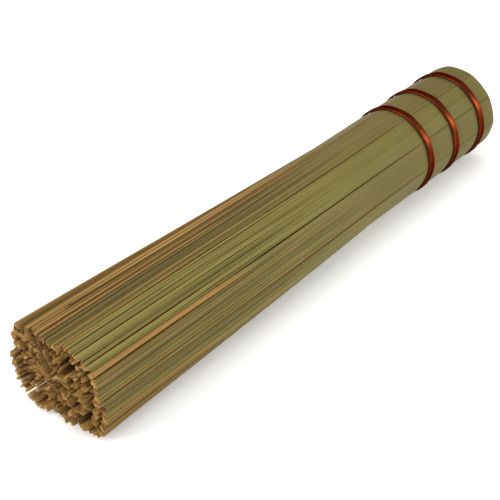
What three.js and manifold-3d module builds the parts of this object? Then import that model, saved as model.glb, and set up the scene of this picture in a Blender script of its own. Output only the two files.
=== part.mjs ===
// Bamboo wok brush: rings of split bamboo slats packed into a bundle and held by three bands.
// Millimetres, +Z up. The brush lies on its side on z = 0, its axis along X:
// handle end at +X, brush tips at -X. The origin is below the middle of the brush.
import * as THREE from "three";
import { mergeVertices } from "three/addons/utils/BufferGeometryUtils.js";
import Module from "manifold-3d";

const wasm = await Module();
wasm.setup();

// Driving dimensions of the whole bundle.
const LENGTH = 250;
const HANDLE_RADIUS = 20.4;
const TIP_WIDTH = 47;
const TIP_TOP_ABOVE_AXIS = 19.4;
const TIP_SQUARENESS = 3.2;
const SPLAY_START = 90;
const SPLAY_POWER = 0.85;

// Every slat is a strip of bamboo wall of one thickness. The outer ones lie bark side out, each a
// nearly flat facet of the handle.
const OUTER_COUNT = 10;
const OUTER_STEP = (2 * Math.PI) / OUTER_COUNT;
const FACETING = 0.3;
const SLAT_THICKNESS = 2.8;
const SLAT_GAP = 0.36;
const RING_GAP = 0.5;
const CORE_HOLE_RADIUS = 0.4;

// Each slat is a solid head that is split lengthways into splints from here to the tips.
const SPLIT_START = 72;
const SPLIT_SPREAD = 34;
const SLIT_WIDTH = 0.35;
const TIP_UNEVENNESS = 2.5;

// The rings from the outside in. phase turns a ring from having a slat straight down.
const RINGS = [
  { prefix: "outer_slat", count: OUTER_COUNT, phase: 0, segments: 3, splints: 6 },
  { prefix: "second_ring_slat", count: 8, phase: 0.2, segments: 4, splints: 4 },
  { prefix: "third_ring_slat", count: 6, phase: 0.3, segments: 8, splints: 4 },
  { prefix: "fourth_ring_slat", count: 4, phase: 0.1, segments: 8, splints: 3 },
  { prefix: "fifth_ring_slat", count: 3, phase: 0.66, segments: 16, splints: 2 },
  { prefix: "core_slat", count: 2, phase: 0.4, segments: 22, splints: 2 },
];

// Bands press shallow waists into the slats and stand proud of them; distances are from the
// handle end.
const BAND_PLACES = { band_handle_end: 10.2, band_middle: 30.4, band_brush_side: 49.8 };
const BAND_WIDTH = 3.6;
const BAND_THICKNESS = 0.9;
const BAND_CLEARANCE = 0.15;
const BAND_SEGMENTS = 40;
const WAIST_DEPTH = 0.4;
const WAIST_FLAT = 2;
const WAIST_REACH = 6;

// The lowest facet is centred on straight down and has a flat strip along its middle. The bands
// reach just below that strip, and the brush lies on them.
const DOWN = (3 * Math.PI) / 2;
const STRIP_HALF_ANGLE = OUTER_STEP / 6;
const STRIP_BELOW_AXIS = handleRadius(DOWN + STRIP_HALF_ANGLE) * Math.cos(STRIP_HALF_ANGLE);
const AXIS_HEIGHT = handleRadius(DOWN) - WAIST_DEPTH + BAND_CLEARANCE + BAND_THICKNESS;

// Distances from the handle end at which the slats have cross-sections.
const WAIST_STATIONS = [-WAIST_REACH, -WAIST_FLAT, WAIST_FLAT, WAIST_REACH];
const SPLAY_STATIONS = [0, 0.15, 0.4, 0.7, 1].map((share) => THREE.MathUtils.lerp(SPLAY_START, LENGTH, share));
const INNER_STATIONS = [0, ...SPLAY_STATIONS];
const OUTER_STATIONS = [
  0,
  ...Object.values(BAND_PLACES).flatMap((place) => WAIST_STATIONS.map((offset) => place + offset)),
  ...SPLAY_STATIONS,
];

const MATERIALS = {
  green_bark: new THREE.MeshStandardMaterial({ color: 0x8b8450, roughness: 0.5, metalness: 0 }),
  tan_bark: new THREE.MeshStandardMaterial({ color: 0x7d6c46, roughness: 0.55, metalness: 0 }),
  inner_bamboo: new THREE.MeshStandardMaterial({ color: 0xa07c48, roughness: 0.75, metalness: 0 }),
  red_band: new THREE.MeshStandardMaterial({ color: 0xa03318, roughness: 0.25, metalness: 0 }),
};

// Radius of the handle at an angle about its axis: a polygon with its facets rounded out.
function handleRadius(angle) {
  const turns = (angle - DOWN) / OUTER_STEP;
  const fromFacetMiddle = (turns - Math.round(turns)) * OUTER_STEP;
  const polygon = Math.cos(OUTER_STEP / 2) / Math.cos(fromFacetMiddle);
  return HANDLE_RADIUS * (1 - FACETING + FACETING * polygon);
}

// Radius of the tips: a rounded rectangle, flattened towards the ground.
function tipRadius(angle) {
  const across = Math.abs(Math.cos(angle)) / (TIP_WIDTH / 2);
  const up = Math.abs(Math.sin(angle)) / (Math.sin(angle) > 0 ? TIP_TOP_ABOVE_AXIS : STRIP_BELOW_AXIS);
  return (across ** TIP_SQUARENESS + up ** TIP_SQUARENESS) ** (-1 / TIP_SQUARENESS);
}

// How far the bands squeeze the bundle in, at a distance from the handle end.
function waistDepth(distance) {
  const offsets = Object.values(BAND_PLACES).map((place) => Math.abs(distance - place));
  const beyondFlat = (Math.min(...offsets) - WAIST_FLAT) / (WAIST_REACH - WAIST_FLAT);
  return WAIST_DEPTH * 0.5 * (1 + Math.cos(Math.PI * THREE.MathUtils.clamp(beyondFlat, 0, 1)));
}

// Outer radius of the bundle where the bands squeeze its handle in by a given depth.
function bundleRadius(angle, distance, squeeze) {
  const along = THREE.MathUtils.clamp((distance - SPLAY_START) / (LENGTH - SPLAY_START), 0, 1);
  const handle = handleRadius(angle) - squeeze;
  return THREE.MathUtils.lerp(handle, tipRadius(angle), along ** SPLAY_POWER);
}

// Outer radius of a ring of slats. The outer slats bow out between the bands and the inner ones,
// which no band touches, run straight.
function ringRadius(ring, angle, distance) {
  const squeeze = ring === 0 ? waistDepth(distance) : WAIST_DEPTH;
  return bundleRadius(angle, distance, squeeze) - ring * (SLAT_THICKNESS + RING_GAP);
}

// A point of the brush from its angle, radius and distance from the handle end.
function placed(angle, radius, distance) {
  return new THREE.Vector3(
    LENGTH / 2 - distance,
    radius * Math.cos(angle),
    AXIS_HEIGHT + radius * Math.sin(angle),
  );
}

// Moves each vertex of a geometry to where a function of its old place says.
function reshaped(geometry, move) {
  const position = geometry.getAttribute("position");
  const vertex = new THREE.Vector3();
  for (let i = 0; i < position.count; i++) {
    vertex.fromBufferAttribute(position, i);
    position.setXYZ(i, ...move(vertex).toArray());
  }
  return geometry;
}

// The geometry as a manifold-3d solid, with its vertices merged by position.
function solidOf(geometry) {
  const bare = geometry.clone();
  bare.deleteAttribute("normal");
  bare.deleteAttribute("uv");
  const merged = mergeVertices(bare, 1e-4);
  const mesh = new wasm.Mesh({
    numProp: 3,
    vertProperties: merged.getAttribute("position").array,
    triVerts: new Uint32Array(merged.index.array),
  });
  return new wasm.Manifold(mesh);
}

// A solid's surface as a three.js geometry.
function geometryOf(solid) {
  const mesh = solid.getMesh();
  const geometry = new THREE.BufferGeometry();
  geometry.setAttribute("position", new THREE.BufferAttribute(mesh.vertProperties, 3));
  geometry.setIndex(new THREE.BufferAttribute(mesh.triVerts, 1));
  geometry.computeVertexNormals();
  return geometry;
}

// Places that spread evenly over 0 to 1 without a visible order.
function scattered(index) {
  const goldenShare = 0.618;
  return (index * goldenShare) % 1;
}

// An unsplit slat: a cell of its ring, extruded along the stations and then bent to the bundle.
// In the cell's outline x runs -0.5 to 0.5 across the slat, and y is 0 inside and 1 outside.
function slatBlank({ ring, middle, step, segments, isCore, tipInset }) {
  const outline = [];
  for (let i = 0; i <= segments; i++) {
    outline.push(new THREE.Vector2(i / segments - 0.5, 0));
  }
  for (let i = segments; i >= 0; i--) {
    outline.push(new THREE.Vector2(i / segments - 0.5, 1));
  }
  const stations = ring === 0 ? OUTER_STATIONS : INNER_STATIONS;
  const steps = stations.length - 1;
  const blank = new THREE.ExtrudeGeometry(new THREE.Shape(outline), {
    depth: steps,
    steps,
    bevelEnabled: false,
  });
  return reshaped(blank, (vertex) => {
    const station = stations[Math.round(vertex.z)];
    const distance = station === LENGTH ? LENGTH - tipInset : station;
    const fullAngle = middle + vertex.x * step;
    const outside = ringRadius(ring, fullAngle, distance);
    const inside = isCore ? CORE_HOLE_RADIUS : outside - SLAT_THICKNESS;
    const radius = THREE.MathUtils.lerp(inside, outside, vertex.y);
    const gapAngle = Math.asin(SLAT_GAP / 2 / radius);
    return placed(fullAngle - 2 * vertex.x * gapAngle, radius, distance);
  });
}

// A thin blade in a plane through the axis, which parts two neighbouring splints.
function slitBlade(angle, start) {
  const length = LENGTH - start + 10;
  const reach = TIP_WIDTH;
  const blade = new THREE.BoxGeometry(length, reach, SLIT_WIDTH);
  blade.translate(LENGTH / 2 - start - length / 2, reach / 2, 0);
  blade.rotateX(angle);
  blade.translate(0, 0, AXIS_HEIGHT);
  return solidOf(blade);
}

// A slat: the blank, split into splints by blades.
function slat({ name, material, index, splints, ...cell }) {
  const tipInset = TIP_UNEVENNESS * scattered(index);
  let solid = solidOf(slatBlank({ ...cell, tipInset }));
  for (let i = 1; i < splints; i++) {
    const angle = cell.middle + (i / splints - 0.5) * cell.step;
    const start = SPLIT_START + SPLIT_SPREAD * scattered(index * splints + i);
    solid = solid.subtract(slitBlade(angle, start));
  }
  return named(name, geometryOf(solid), material);
}

// One ring of slats.
function slatRing(ring, { prefix, count, phase, ...rest }) {
  const group = new THREE.Group();
  const materials = ring === 0 ? [MATERIALS.green_bark, MATERIALS.tan_bark] : [MATERIALS.inner_bamboo];
  const step = (2 * Math.PI) / count;
  const isCore = ring === RINGS.length - 1;
  for (let i = 0; i < count; i++) {
    const name = `${prefix}_${i + 1}`;
    const material = materials[i % materials.length];
    const middle = DOWN + phase + i * step;
    group.add(slat({ name, material, index: i, ring, middle, step, isCore, ...rest }));
  }
  return group;
}

// A flat band with rounded edges, bent to the facets at the bottom of its waist.
function band(name, place) {
  const edge = BAND_THICKNESS / 2;
  const halfWidth = BAND_WIDTH / 2;
  const profile = [
    new THREE.Vector2(0, -halfWidth + edge / 2),
    new THREE.Vector2(edge, -halfWidth),
    new THREE.Vector2(BAND_THICKNESS, -halfWidth + edge),
    new THREE.Vector2(BAND_THICKNESS, halfWidth - edge),
    new THREE.Vector2(edge, halfWidth),
    new THREE.Vector2(0, halfWidth - edge / 2),
    new THREE.Vector2(0, -halfWidth + edge / 2),
  ];
  const offset = HANDLE_RADIUS;
  profile.forEach((point) => {
    point.x += offset;
  });
  const loop = new THREE.LatheGeometry(profile, BAND_SEGMENTS);
  const bent = reshaped(loop, (vertex) => {
    const aboveSlats = Math.hypot(vertex.x, vertex.z) - offset + BAND_CLEARANCE;
    const angle = DOWN + Math.atan2(vertex.x, vertex.z);
    return placed(angle, ringRadius(0, angle, place) + aboveSlats, place - vertex.y);
  });
  return named(name, bent, MATERIALS.red_band);
}

function named(name, geometry, material) {
  const mesh = new THREE.Mesh(geometry, material);
  mesh.name = name;
  return mesh;
}

const brush = new THREE.Group();
RINGS.forEach((ring, depth) => brush.add(slatRing(depth, ring)));
for (const [name, place] of Object.entries(BAND_PLACES)) {
  brush.add(band(name, place));
}

export default brush;
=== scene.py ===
"""Looks of the bamboo wok brush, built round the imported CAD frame.

Metres, in the CAD frame: the brush lies along X, its bands on z = 0, handle end at +X, tips at -X.
A place in the bundle is told by three numbers: an angle about the brush's axis (0 along +Y, a
quarter turn up), a distance from the handle end, and a depth inwards from a ring's outer face.
"""
import math

import bpy
import numpy as np
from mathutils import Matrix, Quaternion, Vector


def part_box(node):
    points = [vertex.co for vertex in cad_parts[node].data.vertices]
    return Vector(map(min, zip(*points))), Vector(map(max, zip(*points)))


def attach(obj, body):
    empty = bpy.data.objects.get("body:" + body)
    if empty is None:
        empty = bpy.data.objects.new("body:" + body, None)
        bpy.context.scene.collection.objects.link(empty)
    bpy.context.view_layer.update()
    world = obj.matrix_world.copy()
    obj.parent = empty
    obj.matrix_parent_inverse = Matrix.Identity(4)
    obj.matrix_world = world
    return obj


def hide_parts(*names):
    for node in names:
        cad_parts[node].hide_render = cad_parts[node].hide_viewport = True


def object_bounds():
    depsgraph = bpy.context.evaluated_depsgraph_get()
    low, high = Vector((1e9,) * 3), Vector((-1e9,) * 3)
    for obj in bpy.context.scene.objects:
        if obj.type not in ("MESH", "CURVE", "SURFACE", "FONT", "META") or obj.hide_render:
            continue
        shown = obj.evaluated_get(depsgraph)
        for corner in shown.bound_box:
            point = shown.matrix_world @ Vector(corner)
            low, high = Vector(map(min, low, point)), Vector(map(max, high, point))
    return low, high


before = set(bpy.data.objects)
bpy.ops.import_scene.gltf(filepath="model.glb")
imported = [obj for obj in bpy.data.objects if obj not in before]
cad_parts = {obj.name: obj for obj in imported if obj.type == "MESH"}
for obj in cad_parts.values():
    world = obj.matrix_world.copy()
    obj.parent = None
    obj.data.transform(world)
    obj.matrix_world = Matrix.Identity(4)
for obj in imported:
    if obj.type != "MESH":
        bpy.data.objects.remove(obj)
LOW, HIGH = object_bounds()

MM = 0.001
DOWN = math.radians(270)


# ---------------------------------------------------------------- camera

CAMERA_PLACE = Vector((-0.3309, -0.2776, 0.3298))
CAMERA_TARGET = Vector((-0.0028, 0.0167, 0.0005))
CAMERA_LENS = 92.66
CAMERA_ROLL = math.radians(-0.5)


def make_camera():
    data = bpy.data.cameras.new("camera")
    data.lens = CAMERA_LENS
    data.clip_start = 0.01
    camera = bpy.data.objects.new("camera", data)
    bpy.context.scene.collection.objects.link(camera)
    camera.location = CAMERA_PLACE
    aim = (CAMERA_TARGET - CAMERA_PLACE).to_track_quat("-Z", "Y")
    camera.rotation_euler = (aim @ Quaternion((0, 0, 1), CAMERA_ROLL)).to_euler()
    bpy.context.scene.camera = camera


# ---------------------------------------------------------------- shape of the bundle

LENGTH = HIGH.x - LOW.x
OUTER_COUNT = 10
OUTER_STEP = 2 * math.pi / OUTER_COUNT
FACETING = 0.3
HANDLE_RADIUS = 20.4 * MM
STRIP_HALF_ANGLE = OUTER_STEP / 6
TIP_SQUARENESS = 3.2
SPLAY_START = 90 * MM
SPLAY_POWER = 0.85
SLAT_THICKNESS = 2.8 * MM
RING_GAP = 0.5 * MM
CORE_HOLE_RADIUS = 0.4 * MM
WAIST_DEPTH = 0.4 * MM
WAIST_FLAT = 2 * MM
WAIST_REACH = 6 * MM
SIDEWAYS_BOW = 0.9 * MM
BOW_POWER = 1.5
BAND_NODES = ("band_handle_end", "band_middle", "band_brush_side")
BAND_CLEARANCE = 0.15 * MM
BAND_WIDTH = 3.6 * MM
BAND_THICKNESS = 0.9 * MM


def middle_of(node):
    low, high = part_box(node)
    return (low + high) / 2


BAND_PLACES = np.array([HIGH.x - middle_of(node).x for node in BAND_NODES])


def handle_radius(angle):
    """Radius of the handle: a polygon with its facets rounded out."""
    turns = (angle - DOWN) / OUTER_STEP
    from_facet_middle = (turns - np.round(turns)) * OUTER_STEP
    polygon = math.cos(OUTER_STEP / 2) / np.cos(from_facet_middle)
    return HANDLE_RADIUS * (1 - FACETING + FACETING * polygon)


STRIP_BELOW_AXIS = float(handle_radius(DOWN + STRIP_HALF_ANGLE)) * math.cos(STRIP_HALF_ANGLE)
AXIS_HEIGHT = float(handle_radius(DOWN)) - WAIST_DEPTH + BAND_CLEARANCE + BAND_THICKNESS
TIP_HALF_WIDTH = (HIGH.y - LOW.y) / 2
TIP_TOP_ABOVE_AXIS = 19.4 * MM


def tip_radius(angle):
    """Radius of the tips: a rounded rectangle, flattened towards the floor."""
    across = np.abs(np.cos(angle)) / TIP_HALF_WIDTH
    half_height = np.where(np.sin(angle) > 0, TIP_TOP_ABOVE_AXIS, STRIP_BELOW_AXIS)
    up = np.abs(np.sin(angle)) / half_height
    return (across**TIP_SQUARENESS + up**TIP_SQUARENESS) ** (-1 / TIP_SQUARENESS)


def waist_depth(distance):
    """How far the bands squeeze the outer slats in."""
    offset = np.abs(np.asarray(distance)[..., None] - BAND_PLACES).min(axis=-1)
    beyond_flat = np.clip((offset - WAIST_FLAT) / (WAIST_REACH - WAIST_FLAT), 0, 1)
    return WAIST_DEPTH * 0.5 * (1 + np.cos(math.pi * beyond_flat))


def splay(distance):
    along = np.clip((distance - SPLAY_START) / (LENGTH - SPLAY_START), 0, 1)
    return along**SPLAY_POWER


def ring_radius(ring, angle, distance):
    squeeze = waist_depth(distance) if ring == 0 else WAIST_DEPTH
    handle = handle_radius(angle) - squeeze
    share = splay(distance)
    outside = handle * (1 - share) + tip_radius(angle) * share
    return outside - ring * (SLAT_THICKNESS + RING_GAP)


def placed(angle, radius, distance):
    """Points of the slightly bowed brush from angle, radius and distance from the handle end."""
    bow = SIDEWAYS_BOW * np.sin(math.pi * np.clip(distance / LENGTH, 0, 1)) ** BOW_POWER
    return np.stack(
        [
            HIGH.x - distance + 0 * angle,
            radius * np.cos(angle) - bow,
            AXIS_HEIGHT + radius * np.sin(angle),
        ],
        axis=-1,
    )


def eased(x):
    x = np.clip(x, 0, 1)
    return x * x * (3 - 2 * x)


# ---------------------------------------------------------------- slats

# Rings from the outside in: name, slats, phase, splints in a slat.
RINGS = [
    ("outer_slat", 10, 0.0, 11),
    ("second_ring_slat", 8, 0.2, 12),
    ("third_ring_slat", 6, 0.3, 13),
    ("fourth_ring_slat", 4, 0.1, 15),
    ("fifth_ring_slat", 3, 0.66, 14),
    ("core_slat", 2, 0.4, 10),
]

# Outer slats in order round the bundle, from the lowest one. tan is 0 for green bark and 1 for
# tan bark, split is where the splints part, loose is a factor on how far they spread, bow is how
# far the slat bows out on its way there, gap how far it parts from the next slat and longer how
# far its tips stand out past their neighbours. Splints by number: peeled ones have no bark from a
# distance on, wide ones are so many times as wide, stray ones stand out at the tips and sunk ones
# lie that much deeper and are painted darker, as painted shade. Lengths are in millimetres.
OUTER_LOOKS = [
    {"tan": 0.55, "split": 95, "loose": 0.6, "gap": 0.4},
    {"tan": 0.15, "split": 85, "loose": 0.9, "gap": 0.5, "longer": 3.4, "peeled": {3: 150}},
    {"tan": 0.75, "split": 90, "loose": 1.6, "gap": 1.6, "longer": 1.6, "peeled": {7: 130}},
    {"tan": 0.25, "split": 80, "loose": 1.4, "gap": 1.2, "peeled": {1: 120, 6: 170}},
    {"tan": 0.95, "split": 66, "loose": 2.2, "gap": 0.7,
     "sunk": {0: 0.3, 2: 0.3, 4: 0.35, 7: 0.3, 9: 0.3},
     "peeled": {1: 150, 3: 120, 5: 135, 6: 110, 8: 100, 10: 70}},
    {"tan": 0.90, "split": 78, "loose": 1.1, "gap": 0.4, "sunk": {1: 0.15, 4: 0.15},
     "peeled": {0: 92, 2: 150, 10: 180}},
    {"tan": 0.05, "split": 96, "loose": 0.55, "gap": 0.4},
    {"tan": 0.70, "split": 88, "loose": 0.9, "gap": 0.7, "peeled": {0: 165}, "wide": {0: 1.9}},
    {"tan": 0.30, "split": 84, "loose": 1.2, "gap": 0.6, "bow": 0.2, "peeled": {6: 180},
     "stray": {9: 0.3, 10: 0.8}},
    {"tan": 0.45, "split": 80, "loose": 2.6, "gap": 0.6, "longer": 0.8,
     "peeled": {1: 140, 4: 160}, "stray": {0: 0.8, 1: 0.4, 2: 0.9}},
]
INNER_LOOK = {"tan": 1.0, "split": 70, "loose": 2.6, "gap": 0.6}

# Slits and joints. A pair gives the least and the most of a random number. Widths are shares of
# an even splint's width, and slit spreads are shares of SLIT_SPREAD.
SPLINT_WIDTHS = (0.75, 1.25)
SPLIT_SCATTER = 62 * MM
SPLIT_SCATTER_POWER = 1.3
SLIT_SPREAD = 0.26 * MM
SLIT_SPREADS = (0.2, 1.6)
JOINT_GAP = 0.14 * MM
JOINT_LENS_START = 56 * MM
JOINT_LENS_END = 260 * MM
JOINT_LENS_POWER = 0.6
SLIT_EDGE_RISE = 8 * MM
WIDEST_INNER_GAP = 0.8
EDGE_WIDTH = 0.18 * MM
EDGE_DROP = 0.16 * MM

# How splints move apart towards the tips. WANDER_LENGTHS, INNER_SINK and INNER_SIDE are in
# millimetres, and turns and twists in radians.
FREE_POWER = 1.5
FREE_LIFT = 0.55 * MM
FREE_LIFTS = (-1, 0.7)
FREE_SIDE = 0.35 * MM
FREE_SIDE_SPREAD = 0.6
FREE_TWIST = math.radians(26)
FREE_TWIST_SPREAD = 0.45
WANDER = 0.12 * MM
WANDER_LENGTHS = (14, 26)
WANDER_RISE = 40 * MM
SINK_LENGTH = 60 * MM
INNER_SINK = 1.0
INNER_SIDE = 0.5
INNER_TURN = 0.16

# Where the tips end. Lengths that aren't multiplied by MM are in millimetres, too, as random
# numbers are drawn in millimetres.
STRETCH_FROM = 200 * MM
TIP_UNEVENNESS = 4 * MM
TIP_SHORTFALL = 1.6 * MM
TIP_SLANT = 1.9 * MM
TIP_SLANT_TOWARDS = math.radians(262)
TIP_SLANT_LOSS = 0.17
OUTER_TIPS_OUT = 2.4
INNER_TIPS_OUT = 1.9
LONGEST_TIP = 5.5 * MM
GOLDEN_STEP = 0.618
OUTER_TIP_SCATTER = 0.6
INNER_SLAT_SCATTER = 1.0
INNER_TIP_SCATTER = 1.3
OUTER_UNEVEN_SHARE = 0.5
END_BEVEL = 0.35 * MM
END_SHRINK = 0.10 * MM
OUTER_RAGGEDNESS = 0.22
INNER_RAGGEDNESS = 0.4
OUTER_THINNING = 0.15
INNER_THINNING = 0.5
FLOOR_CLEARANCE = 0.05 * MM

# Paint. Shares, spreads and brightness run from 0 to 1.
PAINT_BLEND = 60 * MM
TAN_SPREAD = 0.28
LIGHT_MEAN = 0.5
LIGHT_SPREAD = 0.2
LIGHT_RANGE = (0.1, 0.95)
HANDLE_LIGHT = 0.2
HANDLE_LIGHT_GAIN = 0.3
HANDLE_LIGHT_LENGTH = 150 * MM
INNER_PEELED_SHARE = 0.85
# Painted shade: inner wood is painted dark, except over this length at the tips.
LIT_TIP_LENGTH = 14 * MM
PEEL_LENGTH = 24 * MM
# Painted shade on sunk splints: how much darker they are painted once sunk.
SUNK_PAINTED_SHADE = 0.9
STREAKS_START = 60 * MM
STREAKS_RISE = 90 * MM
LEAST_STREAKS = 0.25
GRAIN_SHIFT = 0.37

# Kinds of face, as places in the list of materials, and corners of a splint's cross-section.
BARK, SPLIT_SIDE, CUT_END = 0, 1, 2
CORNERS = 6
SHARP_ANGLE = math.radians(38)


class Slat:
    """One slat: its place in the bundle, its look and its own run of random numbers."""

    def __init__(self, ring, index):
        prefix, count, phase, self.splints = RINGS[ring]
        self.ring = ring
        self.index = index
        self.name = f"{prefix}_{index + 1}"
        self.rng = np.random.default_rng(1000 * ring + index + 7)
        self.is_outer = ring == 0
        self.is_core = ring == len(RINGS) - 1
        self.look = OUTER_LOOKS[index] if self.is_outer else INNER_LOOK
        self.look_before = OUTER_LOOKS[index - 1] if self.is_outer else INNER_LOOK
        self.split = self.look["split"] * MM
        self.step = 2 * math.pi / count
        self.middle = DOWN + phase + index * self.step
        self.distances = self.stations()
        self.steps = self.distances[:, None]
        self.last = len(self.distances) - 1

    def stations(self):
        """Distances from the handle end at which the slat has cross-sections."""
        fine = np.arange(0, 61, 1.25) if self.is_outer else np.array([0, 1, 30])
        coarse = np.arange(64, 246, 5.0 if self.is_outer else 7.0)
        ends = [LENGTH / MM - 2, LENGTH / MM - END_BEVEL / MM, LENGTH / MM]
        return np.concatenate([fine, coarse, ends]) * MM


def split_up(slat):
    """Set where the slat's slits lie across it, where they start and how wide they open."""
    rng, splints, steps = slat.rng, slat.splints, slat.steps
    widths = rng.uniform(*SPLINT_WIDTHS, splints)
    for j, share in slat.look.get("wide", {}).items():
        widths[j] = share
    slat.bounds = np.concatenate([[0], np.cumsum(widths)]) / widths.sum()

    # Each inner slit starts at its own station; the slat's two edges are open all along.
    scatter = rng.uniform(0, 1, splints + 1) ** SPLIT_SCATTER_POWER
    starts = slat.split + SPLIT_SCATTER * scatter
    starts[[0, -1]] = 0
    slat.start_station = np.searchsorted(slat.distances, starts)
    slat.start_station[[0, -1]] = 0
    slat.starts = slat.distances[slat.start_station]
    opening = np.clip((steps - slat.starts) / (LENGTH - slat.starts), 0, 1)
    gap = SLIT_SPREAD * slat.look["loose"] * rng.uniform(*SLIT_SPREADS, splints + 1)
    gap = gap * opening**0.7 * (1.4 - 0.7 * opening)
    lens = np.clip((steps - JOINT_LENS_START) / (JOINT_LENS_END - JOINT_LENS_START), 0, 1)
    lens = np.sin(math.pi * lens) ** JOINT_LENS_POWER
    joints = np.array([slat.look_before["gap"], slat.look["gap"]]) * MM
    gap[:, [0, -1]] = JOINT_GAP + lens * joints
    slat.gap = gap
    slat.opened = np.clip((steps - slat.starts) / SLIT_EDGE_RISE, 0, 1)
    slat.opened[:, [0, -1]] = 1


def set_splints_free(slat):
    """Set how far each splint lifts, shifts and twists out of its place."""
    rng, splints, steps, loose = slat.rng, slat.splints, slat.steps, slat.look["loose"]

    # A splint moves by itself only past the starts of both its slits.
    free_from = np.maximum(slat.starts[:-1], slat.starts[1:])
    free = np.clip((steps - free_from) / (LENGTH - free_from), 0, 1) ** FREE_POWER
    lift = loose * FREE_LIFT * rng.uniform(*FREE_LIFTS, splints) * free
    side = loose * FREE_SIDE * rng.normal(0, FREE_SIDE_SPREAD, splints) * free
    wave_starts = rng.uniform(0, 2 * math.pi, splints)
    waves = np.sin(wave_starts + steps / rng.uniform(*WANDER_LENGTHS, splints) / MM)
    side = side + WANDER * waves * np.clip((steps - free_from) / WANDER_RISE, 0, 1)
    slat.twist = FREE_TWIST * rng.normal(0, FREE_TWIST_SPREAD, splints) * free

    # An outer slat may bow out; an inner one shifts and turns as a whole towards the tips.
    towards_tips = np.clip((steps - SPLAY_START) / (LENGTH - SPLAY_START), 0, 1)
    lift = lift + slat.look.get("bow", 0) * MM * np.sin(math.pi * towards_tips**0.8)
    for j, distance_out in slat.look.get("stray", {}).items():
        lift[:, j] += distance_out * MM * free[:, j]
    slat.sinking = eased((steps[:, 0] - slat.split) / SINK_LENGTH)
    for j, depth in slat.look.get("sunk", {}).items():
        lift[:, j] -= depth * MM * slat.sinking
    whole = eased(towards_tips) * (0 if slat.is_outer else 1)
    slat.free = free
    slat.lift = lift - whole * rng.uniform(0, INNER_SINK) * MM
    slat.side = side + whole * rng.normal(0, INNER_SIDE) * MM
    slat.turn = whole * rng.normal(0, INNER_TURN)


def end_splints(slat):
    """Set each splint's own distances: its last stretch is scaled to end at its own tip."""
    rng, splints = slat.rng, slat.splints
    slant_share = (1 - TIP_SLANT_LOSS * slat.ring) * math.cos(slat.middle - TIP_SLANT_TOWARDS)
    slant = TIP_SHORTFALL + TIP_SLANT * slant_share
    if slat.is_outer:
        slat_uneven = TIP_UNEVENNESS * ((slat.index * GOLDEN_STEP) % 1)
        uneven = slat_uneven + rng.exponential(OUTER_TIP_SCATTER, splints) * MM
        tips_out = (OUTER_TIPS_OUT + slat.look.get("longer", 0)) * MM
        inset = slant + OUTER_UNEVEN_SHARE * uneven - tips_out
    else:
        uneven = rng.normal(0, INNER_SLAT_SCATTER) + rng.normal(0, INNER_TIP_SCATTER, splints)
        inset = slant + (uneven - INNER_TIPS_OUT) * MM
    inset = np.maximum(inset, -LONGEST_TIP)
    scale = (LENGTH - inset - STRETCH_FROM) / (LENGTH - STRETCH_FROM)
    stretched = STRETCH_FROM + (slat.steps - STRETCH_FROM) * scale
    slat.distance = np.where(slat.steps > STRETCH_FROM, stretched, slat.steps)


def lay_out_corners(slat):
    """Six points round each splint at each station: four on its outer face, two on its inner."""
    distance = slat.distance
    left = slat.middle + (slat.bounds[:-1] - 0.5) * slat.step
    right = slat.middle + (slat.bounds[1:] - 0.5) * slat.step
    centre = (left + right) / 2 + 0 * slat.steps
    outside = ring_radius(slat.ring, centre, distance)
    thickness = outside - CORE_HOLE_RADIUS if slat.is_core else SLAT_THICKNESS + 0 * outside
    thinning = OUTER_THINNING if slat.is_outer else INNER_THINNING
    thickness = thickness * (1 - thinning * slat.rng.uniform(0, 1, slat.splints) * slat.free)
    inside = outside - thickness
    left_gap = slat.gap[:, :-1] / 2
    right_gap = slat.gap[:, 1:] / 2
    drop_left = EDGE_DROP * slat.opened[:, :-1]
    drop_right = EDGE_DROP * slat.opened[:, 1:]
    end_shrink = np.where(np.arange(slat.last + 1) == slat.last, END_SHRINK, 0)[:, None]
    inner_left_gap = np.minimum(left_gap, inside * (centre - left) * WIDEST_INNER_GAP)
    inner_right_gap = np.minimum(right_gap, inside * (right - centre) * WIDEST_INNER_GAP)

    def point(angle, depth):
        radius = ring_radius(slat.ring, angle, distance) - depth
        return placed(angle, radius, distance)

    def at_outer(side_angle, sign, offset, drop):
        angle = side_angle + sign * offset / outside
        return point(angle, drop + end_shrink)

    def at_inner(side_angle, sign, offset):
        angle = side_angle + sign * offset / np.maximum(inside, CORE_HOLE_RADIUS)
        return point(angle, thickness - end_shrink)

    slat.centre = centre
    slat.centre_radius = outside - thickness / 2
    slat.corners = np.stack(
        [
            at_outer(left, 1, left_gap + end_shrink, drop_left),
            at_outer(left, 1, left_gap + EDGE_WIDTH, 0 * drop_left),
            at_outer(right, -1, right_gap + EDGE_WIDTH, 0 * drop_right),
            at_outer(right, -1, right_gap + end_shrink, drop_right),
            at_inner(right, -1, inner_right_gap),
            at_inner(left, 1, inner_left_gap),
        ],
        axis=2,
    )


def turned(points, pivot, angle):
    """Points turned about an axis along X through a pivot."""
    cos, sin = np.cos(angle), np.sin(angle)
    arm = points - pivot
    y = arm[..., 1] * cos - arm[..., 2] * sin
    z = arm[..., 1] * sin + arm[..., 2] * cos
    return pivot + np.stack([arm[..., 0], y, z], axis=-1)


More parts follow.
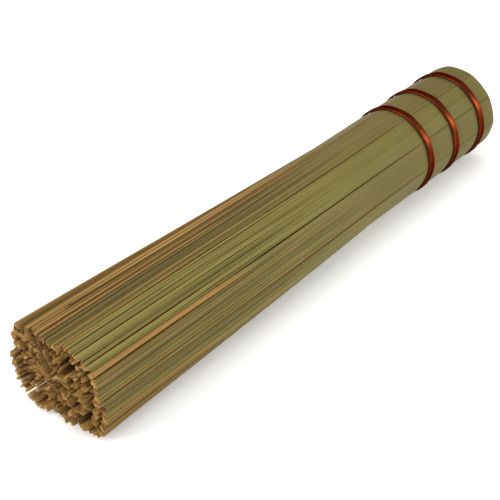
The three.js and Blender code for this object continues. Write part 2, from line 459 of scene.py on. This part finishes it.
def move_corners(slat):
    """Turn and shift each splint in the plane across the brush, and make its tip ragged."""
    steps, centre, last = slat.steps, slat.centre, slat.last
    pivot = placed(centre, slat.centre_radius, slat.distance)[:, :, None, :]
    middle_radius = ring_radius(slat.ring, slat.middle, steps) - SLAT_THICKNESS / 2
    slat_pivot = placed(slat.middle + 0 * steps, middle_radius, steps)[:, :, None, :]
    corners = turned(slat.corners, pivot, slat.twist[:, :, None])
    corners = turned(corners, slat_pivot, slat.turn[:, :, None])
    outward = np.stack([0 * centre, np.cos(centre), np.sin(centre)], axis=-1)[:, :, None, :]
    onward = np.stack([0 * centre, -np.sin(centre), np.cos(centre)], axis=-1)[:, :, None, :]
    corners = corners + slat.lift[:, :, None, None] * outward + slat.side[:, :, None, None] * onward
    raggedness = OUTER_RAGGEDNESS if slat.is_outer else INNER_RAGGEDNESS
    ragged = slat.rng.normal(0, raggedness, (slat.splints, CORNERS)) * MM
    corners[last, :, :, 0] += ragged
    corners[last - 1, :, :, 0] += ragged
    corners[..., 2] = np.maximum(corners[..., 2], FLOOR_CLEARANCE)
    slat.corners = corners


def slat_faces(slat):
    """Faces by corner number, with the kind of wood and the owning splint of each."""
    splints, last = slat.splints, slat.last

    # Where a slit hasn't started, the splints beside it share their edge.
    index_of = np.arange((last + 1) * splints * CORNERS).reshape(-1, splints, CORNERS)
    for j in range(1, splints):
        closed = slice(0, slat.start_station[j] + 1)
        index_of[closed, j - 1, 3] = index_of[closed, j, 0]
        index_of[closed, j - 1, 4] = index_of[closed, j, 5]

    faces = []
    kinds = []
    owners = []
    sides = [(0, 1, BARK), (1, 2, BARK), (2, 3, BARK), (4, 5, SPLIT_SIDE)]
    for k in range(last):
        here = index_of[k]
        beyond = index_of[k + 1]
        for j in range(splints):
            strips = list(sides)
            if k >= slat.start_station[j]:
                strips.append((5, 0, SPLIT_SIDE))
            if k >= slat.start_station[j + 1] or j == splints - 1:
                strips.append((3, 4, SPLIT_SIDE))
            for a, b, kind in strips:
                faces.append((here[j, a], here[j, b], beyond[j, b], beyond[j, a]))
                kinds.append(kind)
                owners.append(j)
    for j in range(splints):
        faces.append(tuple(index_of[0, j, ::-1]))
        faces.append(tuple(index_of[last, j]))
        kinds += [CUT_END, CUT_END]
        owners += [j, j]
    return faces, kinds, owners


def paint_of(slat):
    """Paint of each corner: tan share, brightness (random per splint, with painted shade on inner and
    sunk wood), peeled share and share of streaks.
    """
    rng, splints, steps, look = slat.rng, slat.splints, slat.steps, slat.look
    splint_tan = np.clip(look["tan"] + rng.normal(0, TAN_SPREAD, splints), 0, 1)
    splint_light = np.clip(rng.normal(LIGHT_MEAN, LIGHT_SPREAD, splints), *LIGHT_RANGE)
    mixed = np.clip((steps - slat.split) / PAINT_BLEND, 0, 1)
    tan = look["tan"] * (1 - mixed) + splint_tan * mixed
    slat_light = HANDLE_LIGHT + HANDLE_LIGHT_GAIN * np.clip(steps / HANDLE_LIGHT_LENGTH, 0, 1)
    light = slat_light * (1 - mixed) + splint_light * mixed
    peeled = np.zeros_like(tan)
    if not slat.is_outer:
        peeled[:, rng.uniform(0, 1, splints) < INNER_PEELED_SHARE] = 1
        # Painted shade: inner wood is painted dark, except over its last LIT_TIP_LENGTH at the tips.
        near_tips = np.clip((steps - LENGTH) / LIT_TIP_LENGTH + 1, 0, 1)
        light = light * near_tips
    for j, peel_from in look.get("peeled", {}).items():
        peeled[:, j] = np.clip((steps[:, 0] - peel_from * MM) / PEEL_LENGTH, 0, 1)
    # Painted shade: sunk splints are painted darker as they sink.
    for j in look.get("sunk", {}):
        light[:, j] *= 1 - SUNK_PAINTED_SHADE * slat.sinking
    rise = np.clip((steps - STREAKS_START) / STREAKS_RISE, 0, 1)
    streaked = LEAST_STREAKS + (1 - LEAST_STREAKS) * rise + 0 * tan
    paint = np.stack([tan, light, peeled, streaked], axis=-1)
    return np.repeat(paint[:, :, None, :], CORNERS, axis=2)


def grain_of(slat):
    """Place of each corner in its wood: along, across and depth."""
    width = slat.step * HANDLE_RADIUS
    across = (slat.bounds[:-1] + slat.bounds[1:]) / 2 * width
    half = (slat.bounds[1:] - slat.bounds[:-1]) / 2 * width
    offsets = np.array([-1, -0.7, 0.7, 1, 1, -1])
    depths = np.array([0, 0, 0, 0, 1, 1]) * SLAT_THICKNESS
    seed_shift = GRAIN_SHIFT * (slat.ring * 10 + slat.index)
    grain = np.zeros(slat.corners.shape)
    grain[..., 0] = slat.distance[:, :, None]
    grain[..., 1] = across[None, :, None] + half[None, :, None] * offsets + seed_shift
    grain[..., 2] = depths + 0 * grain[..., 1]
    return grain


def make_slat(ring, index, materials):
    slat = Slat(ring, index)
    split_up(slat)
    set_splints_free(slat)
    end_splints(slat)
    lay_out_corners(slat)
    move_corners(slat)
    piece = painted_mesh(slat, slat_faces(slat), grain_of(slat), paint_of(slat))
    for material in materials:
        piece.data.materials.append(material)
    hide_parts(slat.name)
    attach(piece, "root")


def painted_mesh(slat, faces_kinds_owners, grain, paint):
    """A mesh whose face corners carry the grain and paint of the splint that owns the face."""
    faces, kinds, owners = faces_kinds_owners
    flat = slat.corners.reshape(-1, 3)
    corner_vertex = np.concatenate([np.asarray(face) for face in faces])
    used = np.unique(corner_vertex)
    renumbered = np.full(len(flat), -1)
    renumbered[used] = np.arange(len(used))
    name = slat.name + "_bamboo"
    mesh = bpy.data.meshes.new(name)
    mesh.from_pydata(flat[used].tolist(), [], [renumbered[list(face)].tolist() for face in faces])
    mesh.polygons.foreach_set("material_index", np.array(kinds, dtype=np.int32))
    own = np.repeat(owners, [len(face) for face in faces])
    source = own_corner(corner_vertex, own, slat.splints)
    for title, kind, key, values in (
        ("grain", "FLOAT_VECTOR", "vector", grain),
        ("paint", "FLOAT_COLOR", "color", paint),
    ):
        layer = mesh.attributes.new(title, kind, "CORNER")
        by_corner = values.reshape(-1, values.shape[-1])[source]
        layer.data.foreach_set(key, by_corner.astype(np.float32).ravel())
    mesh.shade_smooth()
    mesh.set_sharp_from_angle(angle=SHARP_ANGLE)
    mesh.update()
    piece = bpy.data.objects.new(name, mesh)
    bpy.context.scene.collection.objects.link(piece)
    return piece


def own_corner(corner_vertex, own, splints):
    """The owning splint's own corner at each face corner, where it shares its neighbour's vertex."""
    station = corner_vertex // (CORNERS * splints)
    splint = corner_vertex // CORNERS % splints
    corner = corner_vertex % CORNERS
    shared = splint != own
    partner = np.where(corner == 0, 3, np.where(corner == 5, 4, corner))
    return np.where(shared, (station * splints + own) * CORNERS + partner, corner_vertex)


# ---------------------------------------------------------------- bands

BAND_TURNS = 240
ROUND_EDGE_STEPS = 8
CORNER_ROUNDING = 6


def band_profile():
    """A flat section with full round edges, as (height, along) pairs."""
    half = BAND_WIDTH / 2 - BAND_THICKNESS / 2
    radius = BAND_THICKNESS / 2
    points = []
    for centre, first in ((half, 0), (-half, 180)):
        for i in range(ROUND_EDGE_STEPS + 1):
            turn = math.radians(first + 90 - i * 180 / ROUND_EDGE_STEPS)
            points.append((radius + radius * math.sin(turn), centre + radius * math.cos(turn)))
    return np.array(points)


def make_band(node, material):
    place = HIGH.x - middle_of(node).x
    profile = band_profile()
    angles = np.linspace(0, 2 * math.pi, BAND_TURNS, endpoint=False)
    # The band bends round the slats' corners less sharply than the slats do.
    window = np.radians(np.linspace(-CORNER_ROUNDING, CORNER_ROUNDING, 13))
    radii = ring_radius(0, angles[:, None] + window, np.full(1, place)).mean(axis=1)
    radius = radii[:, None] + BAND_CLEARANCE + profile[:, 0]
    angle = np.repeat(angles[:, None], len(profile), axis=1)
    points = placed(angle, radius, place + profile[:, 1])
    count = len(profile)
    faces = []
    for i in range(BAND_TURNS):
        for j in range(count):
            a = i * count + j
            b = i * count + (j + 1) % count
            shift = count * BAND_TURNS
            faces.append((a, b, (b + count) % shift, (a + count) % shift))
    mesh = bpy.data.meshes.new(node + "_enamel")
    mesh.from_pydata(points.reshape(-1, 3).tolist(), [], faces)
    mesh.shade_smooth()
    mesh.update()
    piece = bpy.data.objects.new(node + "_enamel", mesh)
    bpy.context.scene.collection.objects.link(piece)
    mesh.materials.append(material)
    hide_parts(node)
    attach(piece, "root")


# ---------------------------------------------------------------- materials


def material(name):
    made = bpy.data.materials.new(name)
    made.use_nodes = True
    nodes = made.node_tree.nodes
    return made, nodes, made.node_tree.links, nodes["Principled BSDF"]


def node(nodes, kind, **values):
    made = nodes.new(kind)
    for key, value in values.items():
        if key in made.inputs:
            made.inputs[key].default_value = value
        else:
            setattr(made, key, value)
    return made


def streaks(nodes, links, along, across, detail=4.0, roughness=0.6):
    """Noise drawn out along the grain; along and across are in cells per metre."""
    grain = node(nodes, "ShaderNodeAttribute", attribute_name="grain")
    mapping = node(nodes, "ShaderNodeMapping")
    mapping.inputs["Scale"].default_value = (along, across, across)
    links.new(grain.outputs["Vector"], mapping.inputs["Vector"])
    noise = node(nodes, "ShaderNodeTexNoise", Scale=1.0, Detail=detail, Roughness=roughness)
    links.new(mapping.outputs["Vector"], noise.inputs["Vector"])
    return noise.outputs["Fac"]


def ramp(nodes, links, source, stops):
    made = nodes.new("ShaderNodeValToRGB")
    elements = made.color_ramp.elements
    while len(elements) < len(stops):
        elements.new(0.5)
    for element, (place, colour) in zip(elements, stops):
        element.position = place
        element.color = (*colour, 1)
    links.new(source, made.inputs["Fac"])
    return made.outputs["Color"]


def mix(nodes, links, factor, first, second, blend="MIX"):
    made = nodes.new("ShaderNodeMix")
    made.data_type = "RGBA"
    made.blend_type = blend
    for socket, value in ((made.inputs[0], factor), (made.inputs[6], first), (made.inputs[7], second)):
        if isinstance(value, bpy.types.NodeSocket):
            links.new(value, socket)
        elif isinstance(value, (int, float)):
            socket.default_value = value
        else:
            socket.default_value = (*value, 1)
    return made.outputs[2]


def paint_channels(nodes, links):
    paint = node(nodes, "ShaderNodeAttribute", attribute_name="paint")
    parts = nodes.new("ShaderNodeSeparateColor")
    links.new(paint.outputs["Color"], parts.inputs["Color"])
    return (*parts.outputs[:3], paint.outputs["Alpha"])


def bump(nodes, links, shader, height, strength, distance):
    made = node(nodes, "ShaderNodeBump", Strength=strength, Distance=distance)
    links.new(height, made.inputs["Height"])
    links.new(made.outputs["Normal"], shader.inputs["Normal"])


def grey(value):
    return (value, value, value)


SPLIT_LIGHT = (0.37, 0.210, 0.060)
SPLIT_DARK = (0.15, 0.072, 0.016)


def split_side_colour(nodes, links):
    """Golden fibrous wood under the bark, with darker fibres."""
    fibres = streaks(nodes, links, 18, 3600)
    return ramp(nodes, links, fibres, [(0.30, SPLIT_DARK), (0.62, SPLIT_LIGHT)])


def shaded(nodes, links, colour, source, dark, light, low=0.3, high=0.7):
    """Colour multiplied by a grey that follows the source from dark to light."""
    greys = ramp(nodes, links, source, [(low, grey(dark)), (high, grey(light))])
    return mix(nodes, links, 1.0, colour, greys, "MULTIPLY")


def lit(nodes, links, colour, light):
    """Colour brightened or darkened by the light channel; painted shade makes wood deep in the bundle
    darkest.
    """
    greys = ramp(nodes, links, light, [(0, grey(0.22)), (0.1, grey(0.68)), (1, grey(1.38))])
    return mix(nodes, links, 1.0, colour, greys, "MULTIPLY")


def bark_material():
    made, nodes, links, shader = material("bamboo_bark")
    tan, light, peeled, streaked = paint_channels(nodes, links)
    fine = streaks(nodes, links, 14, 4200)
    broad = streaks(nodes, links, 5, 700, detail=2.0)
    blotch = streaks(nodes, links, 30, 120, detail=3.0)
    green = ramp(nodes, links, broad, [(0.25, (0.172, 0.144, 0.033)), (0.75, (0.208, 0.177, 0.050))])
    brown = ramp(nodes, links, broad, [(0.25, (0.150, 0.112, 0.030)), (0.75, (0.195, 0.148, 0.044))])
    colour = mix(nodes, links, tan, green, brown)
    streaky = shaded(nodes, links, colour, fine, 0.55, 1.15, 0.3, 0.62)
    colour = mix(nodes, links, streaked, colour, streaky)
    colour = shaded(nodes, links, colour, blotch, 0.92, 1.06)
    colour = mix(nodes, links, peeled, colour, split_side_colour(nodes, links))
    colour = lit(nodes, links, colour, light)
    links.new(colour, shader.inputs["Base Color"])
    rough = ramp(nodes, links, fine, [(0.3, grey(0.66)), (0.7, grey(0.48))])
    links.new(rough, shader.inputs["Roughness"])
    shader.inputs["Specular IOR Level"].default_value = 0.12
    bump(nodes, links, shader, fine, 0.5, 0.00004)
    return made


def split_side_material():
    made, nodes, links, shader = material("bamboo_split_side")
    light = paint_channels(nodes, links)[1]
    colour = lit(nodes, links, split_side_colour(nodes, links), light)
    links.new(colour, shader.inputs["Base Color"])
    shader.inputs["Roughness"].default_value = 0.7
    shader.inputs["Specular IOR Level"].default_value = 0.2
    bump(nodes, links, shader, streaks(nodes, links, 30, 4200), 0.8, 0.00008)
    return made


def cut_end_material():
    made, nodes, links, shader = material("bamboo_cut_end")
    light = paint_channels(nodes, links)[1]
    pores = streaks(nodes, links, 2000, 3400, detail=4.0)
    patches = streaks(nodes, links, 300, 900, detail=2.0)
    stops = [(0.34, (0.07, 0.026, 0.006)), (0.48, (0.30, 0.150, 0.045)), (0.68, (0.58, 0.34, 0.13))]
    colour = ramp(nodes, links, pores, stops)
    colour = shaded(nodes, links, colour, patches, 0.65, 1.1)
    # The light channel gives random brightness per splint and painted shade on sunk and inner wood.
    colour = shaded(nodes, links, colour, light, 0.4, 1.6, 0, 1)
    links.new(colour, shader.inputs["Base Color"])
    shader.inputs["Roughness"].default_value = 0.85
    shader.inputs["Specular IOR Level"].default_value = 0.15
    bump(nodes, links, shader, pores, 0.9, 0.00015)
    return made


def band_material():
    made, nodes, links, shader = material("red_enamel_band")
    place = node(nodes, "ShaderNodeTexCoord")
    noise = node(nodes, "ShaderNodeTexNoise", Scale=900.0, Detail=3.0, Roughness=0.6)
    links.new(place.outputs["Object"], noise.inputs["Vector"])
    wide = node(nodes, "ShaderNodeTexNoise", Scale=120.0, Detail=2.0, Roughness=0.5)
    links.new(place.outputs["Object"], wide.inputs["Vector"])
    stops = [(0.3, (0.105, 0.021, 0.008)), (0.7, (0.150, 0.030, 0.011))]
    colour = ramp(nodes, links, wide.outputs["Fac"], stops)
    colour = shaded(nodes, links, colour, noise.outputs["Fac"], 0.85, 1.05)
    links.new(colour, shader.inputs["Base Color"])
    rough = ramp(nodes, links, noise.outputs["Fac"], [(0.3, grey(0.30)), (0.7, grey(0.38))])
    links.new(rough, shader.inputs["Roughness"])
    shader.inputs["Metallic"].default_value = 1.0
    shader.inputs["Specular Tint"].default_value = (0.35, 0.12, 0.08, 1)
    bump(nodes, links, shader, noise.outputs["Fac"], 0.2, 0.00004)
    return made


# ---------------------------------------------------------------- stage


def make_floor():
    size = 3.0
    mesh = bpy.data.meshes.new("floor")
    mesh.from_pydata(
        [(-size, -size, 0), (size, -size, 0), (size, size, 0), (-size, size, 0)], [], [(0, 1, 2, 3)]
    )
    floor = bpy.data.objects.new("floor", mesh)
    bpy.context.scene.collection.objects.link(floor)
    floor.location.z = -0.0001
    made, _, _, shader = material("pale_floor")
    shader.inputs["Base Color"].default_value = (0.95, 0.95, 0.945, 1)
    shader.inputs["Emission Color"].default_value = (1, 1, 1, 1)
    shader.inputs["Emission Strength"].default_value = 0.18
    shader.inputs["Roughness"].default_value = 0.9
    shader.inputs["Specular IOR Level"].default_value = 0.1
    mesh.materials.append(made)


def make_world():
    world = bpy.data.worlds.new("studio")
    bpy.context.scene.world = world
    world.use_nodes = True
    background = world.node_tree.nodes["Background"]
    background.inputs["Color"].default_value = (1, 1, 1, 1)
    background.inputs["Strength"].default_value = 0.75


def make_light(name, place, target, size, power):
    data = bpy.data.lights.new(name, "AREA")
    data.shape = "RECTANGLE"
    data.size, data.size_y = size
    data.energy = power
    light = bpy.data.objects.new(name, data)
    bpy.context.scene.collection.objects.link(light)
    light.location = place
    light.rotation_euler = (Vector(target) - Vector(place)).to_track_quat("-Z", "Y").to_euler()


def make_lights():
    handle = Vector((0.075, -0.01, 0.03))
    make_light("top_softbox", (-0.3, 0.1, 1.3), (0, 0, 0), (1.2, 1.2), 8)
    make_light("side_softbox", handle + 0.9 * Vector((0.716, -0.619, 0.322)), handle, (0.15, 0.5), 3.2)
    make_light("tip_softbox", (-0.75, 0.35, 0.42), (-0.12, 0, 0.02), (0.4, 0.4), 3.5)


def main():
    bpy.context.scene.view_settings.view_transform = "Standard"
    make_camera()
    bamboo = [bark_material(), split_side_material(), cut_end_material()]
    for ring, (_, count, _, _) in enumerate(RINGS):
        for index in range(count):
            make_slat(ring, index, bamboo)
    enamel = band_material()
    for node_name in BAND_NODES:
        make_band(node_name, enamel)
    make_floor()
    make_world()
    make_lights()


main()
bpy.context.view_layer.update()
